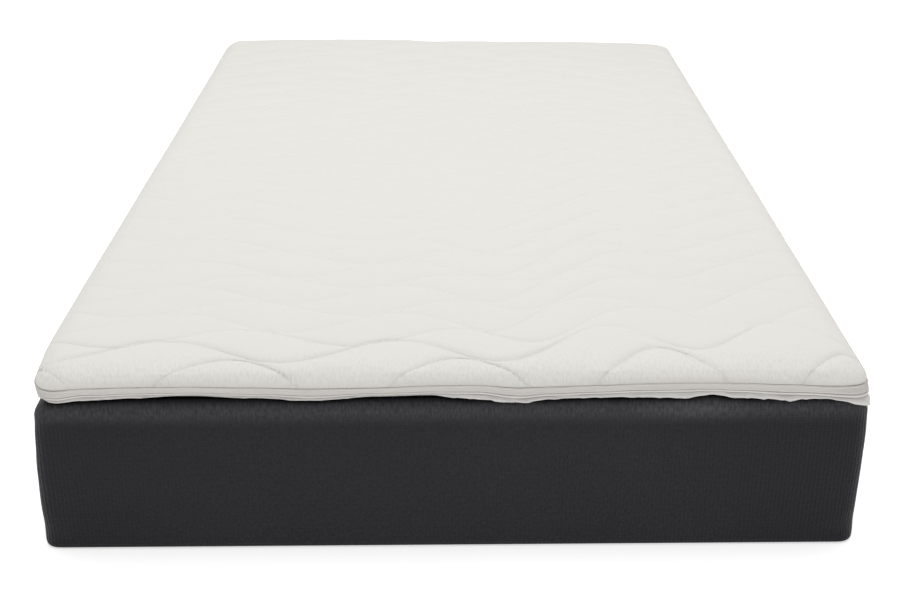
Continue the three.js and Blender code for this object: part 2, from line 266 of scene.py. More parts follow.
# Puts the points of one level where they belong
def placeLevel(placed, here, x, y, height):
    spots = np.column_stack(np.broadcast_arrays(x, y, height))
    placed[here] = spots[here]


def applyModifier(piece, modifier):
    makeActive(piece)
    bpy.ops.object.modifier_apply(modifier=modifier.name)


def subdivideOnce(piece):
    modifier = piece.modifiers.new("soft", "SUBSURF")
    modifier.levels = 1
    modifier.render_levels = 1
    applyModifier(piece, modifier)


swelling = SimpleNamespace(
    frames=20,
    quality=5,
    mass=0.05,
)


# Swells a piece under its own air pressure, and caps how far each point moves
def inflate(piece, pinned, pressure, cap):
    before = pointsOf(piece)
    group = piece.vertex_groups.new(name="held")
    held = np.asarray(pinned)
    for weight in np.unique(held):
        if weight > 0:
            group.add([int(i) for i in np.flatnonzero(held == weight)], float(weight), "REPLACE")
    makeActive(piece)
    bpy.ops.object.modifier_add(type="CLOTH")
    cloth = piece.modifiers[-1]
    settings = cloth.settings
    settings.quality = swelling.quality
    settings.mass = swelling.mass
    settings.use_pressure = True
    settings.uniform_pressure_force = pressure
    settings.vertex_group_mass = "held"
    settings.effector_weights.gravity = 0
    cloth.point_cache.frame_start = 1
    cloth.point_cache.frame_end = swelling.frames
    scene = bpy.context.scene
    for step in range(1, swelling.frames + 1):
        scene.frame_set(step)
    applyModifier(piece, cloth)
    scene.frame_set(1)
    moved = pointsOf(piece) - before
    length = np.linalg.norm(moved, axis=1)
    print("  swelled by", round(1000 * float(np.median(length[held < 1])), 2), "mm in the middle,",
          round(1000 * float(length.max()), 2), "mm at most")
    share = np.minimum(1, cap / np.maximum(length, 1e-9))
    placePoints(piece, before + moved * share[:, None])
    piece.vertex_groups.clear()


# Driving sizes of the bed, in millimetres
bed = SimpleNamespace(
    width=1200,
    length=2000,
    height=250,
    topper=42,
    askew=0.005,  # the right side is shorter than the left by this share
)
gap = 0.3


def laidAskew(points):
    shift = 1 - bed.askew * points[:, 0] / (bed.width / 2)
    return np.column_stack([points[:, 0], points[:, 1] * shift, points[:, 2]])


# Topper: outline and how its border runs
topper = SimpleNamespace(
    halfWidth=bed.width / 2 - 4,
    halfLength=bed.length / 2 + 1,
    corner=46,
    frontRight=25,  # its radius at the front right corner
    drawnIn=5,      # and how far in the front left corner is drawn, over what reach
    drawnReach=130,
    shoulder=30,
    gridInset=8,
    crown=1.5,
    top=bed.height + bed.topper - 3,
    widestAt=bed.height + 23,
    seam=bed.height + 18,
)
# Along the head end: place, rise of the top. It fades out along the sides from headFrom on.
headFrom = 650
headTop = [(-600, 6), (-450, 10), (-120, 10), (-50, 5), (170, 4.5), (450, 1), (600, -5)]
# Along the foot end: place, rise of the seam, how far the base cloth sags out
footBorder = [
    (-600, 0, 0.55), (-553, 0, 0.5), (-510, 1, 0.3), (-448, 2.5, 0.12), (-375, 2.9, 0), (-279, 1, 0.15),
    (-195, -1.5, 0.5), (-110, -0.6, 0.1), (-26, 2.5, 0.05), (37, 3.1, 0.45), (100, -2, 1),
    (143, -0.5, 0.5), (206, 1.3, 0.35), (270, 3.5, 0.35), (330, 4.5, 0.5), (375, 4.3, 0.12),
    (405, 3.5, 0.45), (480, 0.7, 0.85), (546, -2.4, 0.6), (600, -1, 0.5),
]
# How the border runs round the topper
border = SimpleNamespace(
    footEnds=130,     # how far along the sides the foot end's table lasts, and fades out
    footFades=110,
    headShare=0.4,    # how much of the rise of the top the seam follows there
    sideSag=0.4,
    sideSway=0.3,
    bandHeight=13.5,
    weltHeight=4.5,
    fullHeight=18,
    leastRoom=2,
    roomInSag=8,
    flattened=0.13,   # where the base cloth is tucked in, and there the whole border is lifted
    tuckedLift=2.4,
    tuckedUnder=0.16,
    bandAboveSeam=0.5,
    bandOut=0.6,
    bandFoot=(4, 2),  # insets where the base cloth is tucked in and where it sags out
    weltFoot=(8.5, 4),
    bandFollows=0.7,
    rightOut=12,      # how far the border stands out at the front corners, over what reach
    rightReach=80,
    leftOut=7,
    leftReach=70,
    leftFall=6,       # and how much lower the seam is at the front left one
    leftFallReach=75,
    flapReach=44,     # the base cloth's loose corner at the front right: its size, how far in and back
    flapIn=4,
    flapBack=22,
)


def headRise(x, y):
    atHead = ramp(y, headFrom, topper.halfLength - headFrom)
    return atHead * readTable(headTop, x)


# Rise of the seam and sag of the base cloth. Along the hidden sides they go in slow waves.
def borderRun(x, y):
    atFoot = smooth((border.footEnds - y - topper.halfLength) / border.footFades)
    waver = 1.4 * np.sin(y / 190 + x / 230) + 1.1 * np.sin(y / 83 + x / 61)
    sideSag = border.sideSag + border.sideSway * np.sin(y / 140 + x / 97 + 2)
    sideRise = waver + border.headShare * headRise(x, y)
    rise = mix(sideRise, readTable(footBorder, x, 1), atFoot)
    sag = mix(sideSag, readTable(footBorder, x, 2), atFoot)
    return rise, sag


# Distance from the corner of the foot end on the right (1) or the left (-1)
def fromCorner(x, y, side):
    return np.hypot(x - side * topper.halfWidth, y + topper.halfLength)


# Heights and insets of the border's edges at points of the outline
def borderEdges(x, y):
    rise, sag = borderRun(x, y)
    toRight = fromCorner(x, y, 1)
    toLeft = fromCorner(x, y, -1)
    rise = rise - border.leftFall * near(toLeft, border.leftFallReach)
    lift = border.tuckedLift * near(sag, border.tuckedUnder)
    out = border.rightOut * near(toRight, border.rightReach)
    out = out + border.leftOut * near(toLeft, border.leftReach)
    above = topper.seam + rise - bed.height
    room = above - border.leastRoom + border.roomInSag * sag
    squeeze = np.minimum(room / border.fullHeight, 1) * (1 - border.flattened * (1 - sag))
    bandTop = topper.seam + rise + border.bandAboveSeam
    bandFoot = bandTop - border.bandHeight * squeeze
    weltTop = bandFoot - gap
    weltFoot = weltTop - border.weltHeight * squeeze
    return SimpleNamespace(
        rise=rise,
        sag=sag,
        out=out,
        lift=lift,
        flap=near(fromCorner(x + border.flapIn, y - border.flapBack, 1), border.flapReach),
        seam=topper.seam + rise,
        bandTop=bandTop,
        bandFoot=bandFoot,
        weltTop=weltTop,
        weltFoot=weltFoot,
        rimTop=weltFoot - 2 * gap,
        bandFootInset=mix(*border.bandFoot, sag) - border.bandFollows * out,
        weltInset=mix(*border.weltFoot, sag) - out,
    )


# The front right corner is squarer than the others, and the front left one is drawn in
def settleCorners(x, y):
    arc = topper.corner - topper.frontRight
    a = x - (topper.halfWidth - topper.corner)
    b = -y - (topper.halfLength - topper.corner)
    inCorner = (a > 0) & (b > 0)
    length = np.maximum(np.hypot(a, b), 1e-6)
    cosine, sine = a / length, b / length
    both = arc * (cosine + sine)
    rounded = both + np.sqrt(np.maximum(both ** 2 - 2 * arc ** 2 + topper.frontRight ** 2, 0))
    most = np.maximum(np.maximum(cosine, sine), 0.1)
    straight = np.minimum(cosine, sine) / most < arc / topper.corner
    reach = np.where(straight, topper.corner / most, rounded) / topper.corner - 1
    reach = np.where(inCorner, reach, 0)
    drawn = topper.drawnIn * near(fromCorner(x, y, -1), topper.drawnReach)
    return x + a * reach + drawn, y - b * reach


# How far places lie past the straight parts of an outline, across and along it
def pastStraight(x, y, halfWidth=topper.halfWidth, halfLength=topper.halfLength,
                 corner=topper.corner):
    a = np.abs(x) - (halfWidth - corner)
    b = np.abs(y) - (halfLength - corner)
    return a, b, (a > 0) & (b > 0)


# Which way is outwards at points of the outline
def outwards(x, y):
    a, b, _ = pastStraight(x, y)
    inCorner = (a > 1e-6) & (b > 1e-6)
    reach = np.maximum(np.hypot(a, b), 1e-6)
    nx = np.where(inCorner, a / reach, (a >= b) * 1.0) * np.sign(x)
    ny = np.where(inCorner, b / reach, (a < b) * 1.0) * np.sign(y)
    return nx, ny


# Length along the outline, from the middle of the foot end, going right or left (negative)
def alongOutline(x, y, halfWidth, halfLength, corner):
    turn = corner * math.pi / 2
    a, b, inCorner = pastStraight(x, y, halfWidth, halfLength, corner)
    angle = np.arctan2(np.maximum(a, 0), np.maximum(b, 1e-9))
    atFoot = halfWidth - corner
    side = atFoot + turn
    head = side + 2 * (halfLength - corner)
    footCorner = atFoot + corner * angle
    headCorner = head + corner * (math.pi / 2 - angle)
    onSide = a >= b
    length = np.where(onSide, side + y + halfLength - corner, np.abs(x))
    length = np.where(~onSide & (y > 0), head + turn + atFoot - np.abs(x), length)
    length = np.where(inCorner, np.where(y < 0, footCorner, headCorner), length)
    return length * np.where(x < 0, -1, 1)


# A small uneven wave along the border, from a few sines that don't repeat
def uneven(along, start, lengths=(97, 41, 23.5, 13.1), sizes=(0.5, 0.3, 0.2, 0.1)):
    total = 0
    for number, (length, size) in enumerate(zip(lengths, sizes)):
        total = total + size * np.sin(2 * math.pi * along / length + start * (number + 1.7))
    return total


# An open collar of straight levels round the topper's outline, ready to be shaped
def addCollar(name, levels, spacing):
    corner = topper.corner
    deselectAll()
    bpy.ops.mesh.primitive_plane_add(size=1)
    piece = bpy.context.object
    piece.name = name
    bpy.ops.transform.resize(value=(2 * topper.halfWidth * mm, 2 * topper.halfLength * mm, 1))
    bpy.ops.object.transform_apply(location=True, rotation=True, scale=True)
    editAll(piece)
    bpy.ops.mesh.bevel(offset=corner * mm, segments=10, affect="VERTICES")
    bpy.ops.mesh.select_all(action="SELECT")
    bpy.ops.mesh.delete(type="ONLY_FACE")
    for long, wide in ((True, 2 * topper.halfWidth), (False, 2 * topper.halfLength)):
        def straight(a, b):
            run = np.abs(a - b)
            return (run[:, 0] > 0.5) if long else (run[:, 1] > 0.5)
        selectEdges(piece, straight)
        bpy.ops.mesh.subdivide(number_cuts=int((wide - 2 * corner) / spacing / 4))
        bpy.ops.mesh.subdivide(number_cuts=3)
    bpy.ops.mesh.select_all(action="SELECT")
    for level in range(levels - 1):
        bpy.ops.mesh.extrude_region_move(TRANSFORM_OT_translate={"value": (0, 0, levelStep)})
    return piece


def bridgeEnds(piece, levels):
    def ends(a, b):
        low, high = levelsOf(a[:, 2]), levelsOf(b[:, 2])
        return (low == high) & ((low == 0) | (low == levels - 1))
    selectEdges(piece, ends)
    bpy.ops.mesh.bridge_edge_loops()
    objectMode()


def capEnds(piece, levels):
    for level in (0, levels - 1):
        def end(a, b):
            return (levelsOf(a[:, 2]) == level) & (levelsOf(b[:, 2]) == level)
        selectEdges(piece, end)
        bpy.ops.mesh.edge_face_add()
    objectMode()


def pointFacesOut(piece):
    editAll(piece)
    bpy.ops.mesh.normals_make_consistent(inside=False)
    objectMode()


# Shapes a strip from its section: rows of inset and height at every place of the outline
def makeStrip(name, section, spacing, close=bridgeEnds):
    piece = addCollar(name, len(section), spacing)
    close(piece, len(section))
    shapeCollar(piece, section)
    pointFacesOut(piece)
    shadeSmooth(piece)
    return piece


def shapeCollar(piece, section):
    points = pointsOf(piece)
    level = levelsOf(points[:, 2])
    x, y = points[:, 0] / mm, points[:, 1] / mm
    edges = borderEdges(x, y)
    along = alongOutline(x, y, topper.halfWidth, topper.halfLength, topper.corner)
    nx, ny = outwards(x, y)
    placed = np.zeros_like(points)
    across = np.zeros(len(points))
    last = None
    for number, step in enumerate(section):
        inset, height = step(edges, along, x, y)
        placeLevel(placed, level == number, x - nx * inset, y - ny * inset, height)
        run = 0 if last is None else run + np.hypot(inset - last[0], height - last[1])
        last = (inset, height)
        across = np.where(level == number, run, across)
    placed[:, 0], placed[:, 1] = settleCorners(placed[:, 0], placed[:, 1])
    placePoints(piece, laidAskew(placed) * mm)
    saveFlatPlaces(piece, "clothCut", np.column_stack([along, across]) * mm)


# Band: the flat woven band with a narrow fold along its top
bandForm = SimpleNamespace(
    thickness=2.2,
    spacing=7,
    # share of the height from the top down, how far the face stands out there
    face=[(0, -0.7), (0.02, 0), (0.07, 0.8), (0.13, 1.0), (0.2, 0.3), (0.26, -0.3), (0.38, 0.1),
          (0.52, 0.5), (0.6, 0.1), (0.68, 0.7), (0.84, 0.7), (0.92, 0.1), (0.97, -0.7), (1, -1.7)],
    back=[0.97, 0.5, 0.03],
)


# Inset at the top and the foot, height of the top and the foot
def bandEdges(e):
    return -border.bandOut, e.bandFootInset, e.bandTop, e.bandFoot


def bandWaves(along, share):
    out = 0.5 * uneven(along, 1.1) * smooth(4 * share * (1 - share))
    return out, 0.25 * uneven(along, 2.3) * min(1, 4 * share)


# Welt: the narrow rounded strip below the band
weltForm = SimpleNamespace(
    thickness=3,
    spacing=7,
    face=[(0, -1.6), (0.1, -0.4), (0.28, 0.4), (0.55, 0.6), (0.8, 0.1), (0.93, -0.6), (1, -1.6)],
    back=[0.9, 0.1],
)


def weltEdges(e):
    return e.bandFootInset + 0.5, e.weltInset - 1, e.weltTop, e.weltFoot


def weltWaves(along, share):
    return 0.35 * uneven(along, 3.7), 0.2 * uneven(along, 2.3)


# The section of the band or the welt: down its face and up its back
def stripSection(form, edgesOf, wavesOf):
    def point(share, out, onFace):
        def step(e, along, x, y):
            topInset, footInset, top, foot = edgesOf(e)
            inset, height = mix(topInset, footInset, share), mix(top, foot, share)
            if not onFace:
                return inset + form.thickness, height
            wave, rise = wavesOf(along, share)
            return inset - out + wave, height + rise
        return step

    face = [point(share, out, True) for share, out in form.face]
    return face + [point(share, 0, False) for share in form.back]


# Base cloth: a thin sheet whose rim sags over the mattress's edge and turns up to the welt
baseForm = SimpleNamespace(
    thickness=1.4,
    spacing=6,
    middle=28,
    # how far down or in it lies, where it is tucked in and where it sags out
    flatDrop=(0.2, 0.8),
    drop=(0.6, 11),
    flatInset=(20, 15),
    turnInset=(12, 4),
    foldInset=(9, 3),
    turnThickness=(1.4, 2.6),
    turnWidth=(1.2, 2.5),
    # places up the rim: share of its height, how much it bulges there
    rim={"low": (0.18, 0.7), "fold": (0.42, 1), "high": (0.74, 0.35)},
    # how much its small folds have leaned there
    leans={"low": 0.3, "fold": 0.6, "high": 1},
    flapDrop=13,
    flapTurnOut=6,
    flapFoldOut=4,
    topBehindWelt=2.4,
    sideOut=3.1,  # how far the mattress's sides stand out
)


# Height of the mattress's top and its rounded edge
def mattressTop(x, y):
    corner, radius = mattress.corner, mattress.topRadius
    a, b, inCorner = pastStraight(x, y, bed.width / 2, bed.length / 2, corner)
    reach = np.where(inCorner, np.hypot(a, b), np.maximum(a, b)) - baseForm.sideOut
    over = np.clip(reach - corner + radius, 0, radius)
    return bed.height - radius + np.sqrt(radius ** 2 - over ** 2)


def baseSection():
    floorOfCloth = bed.height + gap
    sheet = baseForm.thickness

    def resting(drop, inset, x, y):
        nx, ny = outwards(x, y)
        settledX, settledY = settleCorners(x - nx * inset, y - ny * inset)
        belowX = np.where(x > 0, settledX, x - nx * inset)
        lowest = np.minimum(mattressTop(belowX, settledY) + 3 * gap, floorOfCloth)
        return np.maximum(floorOfCloth - drop, lowest)

    # small folds that lean, deeper where the cloth sags out
    def folds(e, along, lean):
        place = along + 14 * lean * np.sin(along / 57)
        return uneven(place, 5.1, (71, 37, 21, 12.3), (1.0, 0.9, 0.75, 0.4)) * (0.35 + 0.65 * e.sag)

    def rimPoint(kind, skin):
        def step(e, along, x, y):
            def at(name):
                tucked, sagging = getattr(baseForm, name)
                return mix(tucked, sagging, e.sag)

            drop = at("drop") + baseForm.flapDrop * e.flap
            turnInset = at("turnInset") - e.out - baseForm.flapTurnOut * e.flap
            flatInset = at("flatInset")
            foldInset = at("foldInset") - e.out - baseForm.flapFoldOut * e.flap
            fold = folds(e, along, baseForm.leans.get(kind, 0))
            if kind == "middle":
                return baseForm.middle, floorOfCloth + skin * sheet
            if kind == "flat":
                height = resting(at("flatDrop"), flatInset, x, y) + 0.5 * e.lift
                return flatInset, height + skin * sheet
            if kind == "edge":
                inset = mix(turnInset, flatInset, 0.5)
                return inset, resting(0.4 * drop, inset, x, y) + 0.9 * e.lift + skin * sheet
            if kind == "turn":
                inset = turnInset - 0.6 * fold
                base = resting(drop + 0.4 * fold, inset, x, y) + e.lift
                return inset + skin * at("turnWidth"), base + skin * at("turnThickness")
            if kind in baseForm.rim:
                share, bulge = baseForm.rim[kind]
                base = resting(drop, turnInset, x, y) + 0.3 * fold + e.lift
                across = mix(turnInset, e.weltInset + 2, share)
                inset = mix(across, foldInset, bulge) - (1.1 if kind == "fold" else 0.8) * fold
                return inset + skin * sheet, mix(base + skin * sheet, e.rimTop, share)
            inset = e.weltInset + baseForm.topBehindWelt
            return inset + skin * sheet, e.rimTop + 0.2 * uneven(along, 2.3)
        return step

    order = ["middle", "flat", "edge", "turn", "low", "fold", "high", "top"]
    outer = [rimPoint(kind, 0) for kind in order]
    inner = [rimPoint(kind, 1) for kind in reversed(order)]
    return outer + inner


# Quilted pad
quilt = SimpleNamespace(
    startsAt=-bed.length / 2 + 15,
    lineStep=52.5,
    lines=39,
    waveLength=308,
    crestAt=14,
    tightening=0.057,
    oddLead=0.29,
    evenSwing=28,
    oddSwing=35,
    puff=3.4,                 # before the swelling
    puffWidth=42,
    puffRoundness=0.75,
    leastStep=4,
    edgeRoom=5,               # lines keep this clear of the ends, and this apart
    lineRoom=6,
    flatHalf=1120.0,
    corner=(-440, 80),        # the first line leads there towards the left corner, and how much
    cornerLead=0.11,
    secondUp=8,
    stretched=(60, 240),      # where the front stretch starts, and over how much
    leadAt=190,
    leadReach=180,
    columns=80,
    rowShares=[0, 0.075, 0.23, 0.5, 0.77, 0.925],
    pressure=4,
    swellCap=4 * mm,
    creaseDepth=0.8,
    creaseWidth=2.6,
    creaseFootWidth=0.8,      # how much wider at the foot end
    creaseByFoot=(0.5, 1.8),  # deeper at the foot end, and on top than over the edge
    creaseOnTop=(0.3, 1),
    creaseDown=(0.4, 1),
    creasesEnd=(6, 2),        # levels below the top
    overEdge=0.8,             # flat cloth used up for each millimetre down over the edge
    overFrom=(34, 8),
    onTop=26,
    nearFoot=(830, 120),
    opens=(895, 110),
    relaxed=60,
    # painted shade on the pad above the seam: how high above it, and over how much
    seamShade=12,
    seamShadeOver=11,
    leftIn=6,                 # the front left corner is drawn in further above the seam
    leftInReach=150,
    leftInOver=12,
)
# The cloth was stretched at the front right corner: line, push to the head end, wider swing, lead
frontStretch = [
    (0, 0, 1, 0), (1, 46, 1.3, 0), (2, 64, 1.45, 0.13), (4, 92, 1.15, 0.13), (6, 100, 1, 0), (38, 0, 1, 0),
]
# The first line at the foot: place, its middle, its swing
firstLine = [(-600, -1003, 62), (-310, -1001, 51), (14, -996, 47), (296, -978, 60), (566, -1008, 64)]


def stitchLine(line, x):
    t = (x - quilt.crestAt) / quilt.waveLength
    odd = line % 2
    turns = t + quilt.tightening * t * t + odd * quilt.oddLead
    if line == 0:
        turns = turns - quilt.cornerLead * fade(x, *quilt.corner)
        return readTable(firstLine, x, 1) + readTable(firstLine, x, 2) * np.cos(2 * math.pi * turns)
    right = ramp(x, *quilt.stretched)
    push, wider, lead = rowAt(frontStretch, float(line))
    turns = turns + lead * near(np.abs(x - quilt.leadAt), quilt.leadReach)
    swing = (quilt.oddSwing if odd else quilt.evenSwing) * mix(1, wider, right)
    raised = quilt.secondUp if line == 1 else 0
    middle = quilt.startsAt + line * quilt.lineStep + raised + push * right
    return middle + swing * np.cos(2 * math.pi * turns)


# Stitched rows at each x, with the foot edge before them and the head edge after them.
# On the flat cloth they run on past the pad's edge.
def stitchedRows(x, half=topper.halfLength - topper.gridInset):
    rows = [np.full_like(x, -half)]
    for line in range(quilt.lines):
        lowest = -half + quilt.edgeRoom + line * quilt.lineRoom
        highest = half - quilt.edgeRoom - (quilt.lines - 1 - line) * quilt.lineRoom
        place = np.clip(stitchLine(line, x), lowest, highest)
        step = quilt.leastStep if line else 0
        rows.append(np.maximum(place, rows[-1] + step))
    rows.append(np.full_like(x, half))
    return np.array(rows)


def insetOf(x, y):
    a, b, inCorner = pastStraight(x, y)
    return topper.corner - np.where(inCorner, np.hypot(a, b), np.maximum(a, b))


def padHeight(x, y, puff):
    inset = np.maximum(insetOf(x, y), 0)
    drop = np.maximum(1 - inset / topper.shoulder, 0)
    rounding = np.sqrt(1 - drop * drop)
    crown = topper.crown * (1 - (x / topper.halfWidth) ** 4) * (1 - (y / topper.halfLength) ** 4)
    rise = borderRun(x, y)[0]
    widest = topper.widestAt + 0.5 * rise * drop
    top = topper.top + crown + headRise(x, y)
    return mix(widest, top, rounding) + puff * smooth(inset / topper.shoulder)


def roundCorner(x, y, halfWidth, halfLength, radius):
    a, b, inCorner = pastStraight(x, y, halfWidth, halfLength, radius)
    scale = np.maximum(a, b) / np.maximum(np.hypot(a, b), 1e-9)
    roundX = np.where(inCorner, np.sign(x) * (halfWidth - radius + a * scale), x)
    roundY = np.where(inCorner, np.sign(y) * (halfLength - radius + b * scale), y)
    return roundX, roundY


# Rounded rim below the pad's top: inset and height at the outline
def rimLevels(e):
    padFoot = bed.height + gap + baseForm.thickness + gap
    widest = topper.widestAt + 0.5 * e.rise
    top = topper.top
    behindBand = -border.bandOut + bandForm.thickness + gap + 0.2
    behindWelt = e.bandFootInset + weltForm.thickness + 0.5 + gap
    nothing = 0 * e.rise
    return [
        (nothing + 4, mix(widest, top, 0.5)),
        (nothing + 1.1, mix(widest, top, 0.27)),
        (nothing, widest + 1),
        (nothing + 0.6, mix(widest, e.seam, 0.4)),
        (nothing - 0.4, e.seam + 0.4),
        (behindBand + 0.8, e.seam + 1.02),
        (behindWelt, np.maximum(e.bandFoot, padFoot + 3)),
        (e.weltInset + 6, padFoot + e.lift),
    ]


# A flat grid with straight levels hanging from its rim, open below. Each point knows its column,
# its row and how many levels below the top it is.
def addGridWithSides(name, columns, rows, levels):
    deselectAll()
    bpy.ops.mesh.primitive_grid_add(x_subdivisions=columns, y_subdivisions=rows, size=1)
    piece = bpy.context.object
    piece.name = name
    edit(piece, "EDGE")
    selectRim()
    for level in range(levels):
        bpy.ops.mesh.extrude_region_move(TRANSFORM_OT_translate={"value": (0, 0, -levelStep)})
    objectMode()
    points = pointsOf(piece)
    column = np.rint((points[:, 0] + 0.5) * columns).astype(int)
    row = np.rint((points[:, 1] + 0.5) * rows).astype(int)
    return piece, column, row, levelsOf(-points[:, 2])


def selectRim():
    bpy.ops.mesh.select_all(action="DESELECT")
    bpy.ops.mesh.select_non_manifold(extend=False, use_wire=False, use_multi_face=False,
                                     use_non_contiguous=False, use_verts=False)


# One flat face closes the underside, after the subdivision
def closeUnderside(piece):
    edit(piece, "EDGE")
    selectRim()
    bpy.ops.mesh.edge_face_add()
    objectMode()


def makePad():
    perChannel = len(quilt.rowShares)
    channels = quilt.lines + 1
    rowCount = perChannel * channels
    columns = quilt.columns
    levels = len(rimLevels(borderEdges(np.zeros(1), np.zeros(1))))
    piece, column, row, level = addGridWithSides("quiltedPad", columns, rowCount, levels)

    halfX = topper.halfWidth - topper.gridInset
    halfY = topper.halfLength - topper.gridInset
    radius = topper.corner - topper.gridInset
    columnX = np.linspace(-halfX, halfX, columns + 1)
    stitched = stitchedRows(columnX)                     # lines + 2 rows of places
    channel = np.minimum(row // perChannel, channels - 1)
    share = np.where(row == rowCount, 1.0, np.array(quilt.rowShares)[row % perChannel])
    low = stitched[channel, column]
    high = stitched[channel + 1, column]
    x = columnX[column]
    y = mix(low, high, share)
    room = high - low
    fullPuff = quilt.puff * (1 - np.exp(-(room / quilt.puffWidth) ** 2))
    puff = fullPuff * (4 * share * (1 - share)) ** quilt.puffRoundness
    roundX, roundY = roundCorner(x, y, halfX, halfY, radius)
    placed = np.column_stack([roundX, roundY, padHeight(roundX, roundY, puff)])

    # the rim: the same places on the full outline, moved in and down
    fullX, fullY = roundCorner(x * topper.halfWidth / halfX, y * topper.halfLength / halfY,
                               topper.halfWidth, topper.halfLength, topper.corner)
    edges = borderEdges(fullX, fullY)
    nx, ny = outwards(fullX, fullY)
    for number, (inset, height) in enumerate(rimLevels(edges)):
        placeLevel(placed, level == number + 1, fullX - nx * inset, fullY - ny * inset, height)
    placed[:, 0], placed[:, 1] = settleCorners(placed[:, 0], placed[:, 1])
    placePoints(piece, laidAskew(placed) * mm)
    pointFacesOut(piece)

    # stitched rows, the seam and the underside are held while the rest swells
    line = row // perChannel - 1
    trueLines = np.array([stitchLine(number, columnX) for number in range(quilt.lines)])
    sewn = np.abs(trueLines[np.clip(line, 0, quilt.lines - 1), column] - y) < 0.5
    onStitch = (row % perChannel == 0) & (level == 0) & (line >= 0) & (line < quilt.lines) & sewn
    held = np.where(onStitch | (level >= 4), 1.0, 0.0)
    saveNumbers(piece, "rowPlace", row)
    saveNumbers(piece, "rimLevel", level)
    inflate(piece, held, quilt.pressure, quilt.swellCap)
    subdivideOnce(piece)
    closeUnderside(piece)
    return piece


# Where places of the flat cloth lie between the stitch lines: the number of the line below plus
# the share of the way to the next, and the width of that channel
def betweenStitches(u, v):
    rows = stitchedRows(u, quilt.flatHalf)
    index = np.arange(len(u))
    channel = np.clip((rows <= v + 1e-4).sum(axis=0) - 1, 0, quilt.lines)
    low = rows[channel, index]
    high = rows[channel + 1, index]
    share = np.clip((v - low) / (high - low), 0, 1)
    ahead = stitchedRows(u + 2, quilt.flatHalf)
    slope = (mix(ahead[channel, index], ahead[channel + 1, index], share) - v) / 2
    return channel + share, (high - low) / np.sqrt(1 + slope ** 2)


def finishPad(piece):
    points = pointsOf(piece) / mm
    level = readNumbers(piece, "rimLevel")
    x = points[:, 0]
    y = points[:, 1] / (1 - bed.askew * x / (bed.width / 2))
    # the flat cloth: over the shoulder its places run on past the outline
    edge = insetOf(x, y)
    drop = np.maximum(topper.top + headRise(x, y) - points[:, 2], 0)
    drop = drop * fade(edge, *quilt.overFrom)
    nx, ny = outwards(x, y)
    u = x + quilt.overEdge * nx * drop
    v = y + quilt.overEdge * ny * drop
    phase, room = betweenStitches(u, v)
    share = phase % 1
    toStitch = np.minimum(share, 1 - share) * room
    nearFoot = ramp(-v, *quilt.nearFoot)
    width = quilt.creaseWidth * (1 + quilt.creaseFootWidth * nearFoot)
    crease = np.exp(-(toStitch / width) ** 2)
    onTop = smooth(edge / quilt.onTop)
    deep = quilt.creaseDepth * mix(*quilt.creaseByFoot, nearFoot) * mix(*quilt.creaseOnTop, onTop)
    deep = deep * crease * fade(level, *quilt.creasesEnd)
    points[:, 0] -= nx * deep * (1 - onTop)
    points[:, 1] -= ny * deep * (1 - onTop)
    points[:, 2] -= deep * mix(*quilt.creaseDown, onTop)
    drawn = near(fromCorner(x, y, -1), quilt.leftInReach)
    points[:, 0] += quilt.leftIn * drawn * ramp(points[:, 2], topper.seam, quilt.leftInOver)
    placePoints(piece, points * mm)
    saveNumbers(piece, "shoulderShare", near(edge, quilt.relaxed))
    saveNumbers(piece, "footShare", nearFoot * (1 - 0.5 * drawn))
    saveNumbers(piece, "openShare", ramp(-v, *quilt.opens))
    # painted shade on the roll just above the seam
    shadeTop = borderEdges(x, y).seam + quilt.seamShade
    saveNumbers(piece, "paintedSeamShade", fade(points[:, 2], shadeTop, quilt.seamShadeOver))
    saveNumbers(piece, "stitchPhase", phase)
    saveNumbers(piece, "channelRoom", room * mm)
    saveFlatPlaces(piece, "clothCut", np.column_stack([u, v]) * mm)
    for name in ("rowPlace", "rimLevel"):
        piece.data.attributes.remove(piece.data.attributes[name])
    shadeSmooth(piece)


# Mattress
mattress = SimpleNamespace(
    corner=24,
    topRadius=28,
    footRadius=6,
    stepsAcross=58,
    stepsAlong=100,
    sideStep=15,
    pressure=4,
    swellCap=1.6 * mm,
    smallerBy=0.7,  # it swells back to its size
    heldInside=70,  # the top is held this far in from its edges
    pressedIn=16,   # the front left corner at the top, over what reach and from what height
    pressedReach=260,
    pressedFrom=220,
)
# Where painted shade darkens the cover under the topper, where a painted sheen makes its rounded edge
# pale, and where painted shade darkens it towards its corners
paintedLight = SimpleNamespace(
    shade=(235, 20),          # where it starts, and over how much
    shadeAtRim=(244, 9),
    paintedSheen=(206, 26),
    paintedSheenUpTo=(252, 19),
    paintedSheenShare=(0.82, 0.6),  # all round, and how much more where it is most
    paintedSheenMost=(350, 110),
    paintedEndShadeFrom=(260, 330),
    paintedEndShadeDepth=0.6,
)
# Height as a share, how far the left side, the right side and the ends stand out there
mattressSide = [
    (0, 3.3, 5.8, -4), (0.05, 3.3, 5.8, -4), (0.27, 4.8, 6.5, -1), (0.5, 3.1, 6.7, 1),
    (0.72, -0.8, 6.7, 1.2), (0.888, -4.7, 4.8, 0), (1, 0, 0, 0),
]


# Places along one side: the corners at even angles, even steps between them
def sidePlaces(half, radius, steps):
    corner = [half - radius + radius * math.tan(math.radians(angle)) for angle in (15, 30, 45)]
    middle = np.linspace(radius - half, half - radius, steps + 1)
    return np.array([-place for place in reversed(corner)] + list(middle) + corner)


# Inset and height of each level from the top's rim down to the foot
def mattressLevels():
    top, foot = mattress.topRadius, mattress.footRadius
    levels = []
    for angle in (72, 54, 36, 18):
        turn = math.radians(angle)
        levels.append((top * (1 - math.cos(turn)), bed.height - top * (1 - math.sin(turn))))
    steps = int((bed.height - top - foot) / mattress.sideStep)
    for height in np.linspace(bed.height - top, foot, steps + 1):
        levels.append((0, float(height)))
    levels += [(foot * 0.3, foot * 0.3), (foot * 0.65, foot * 0.06), (foot, 0)]
    return levels


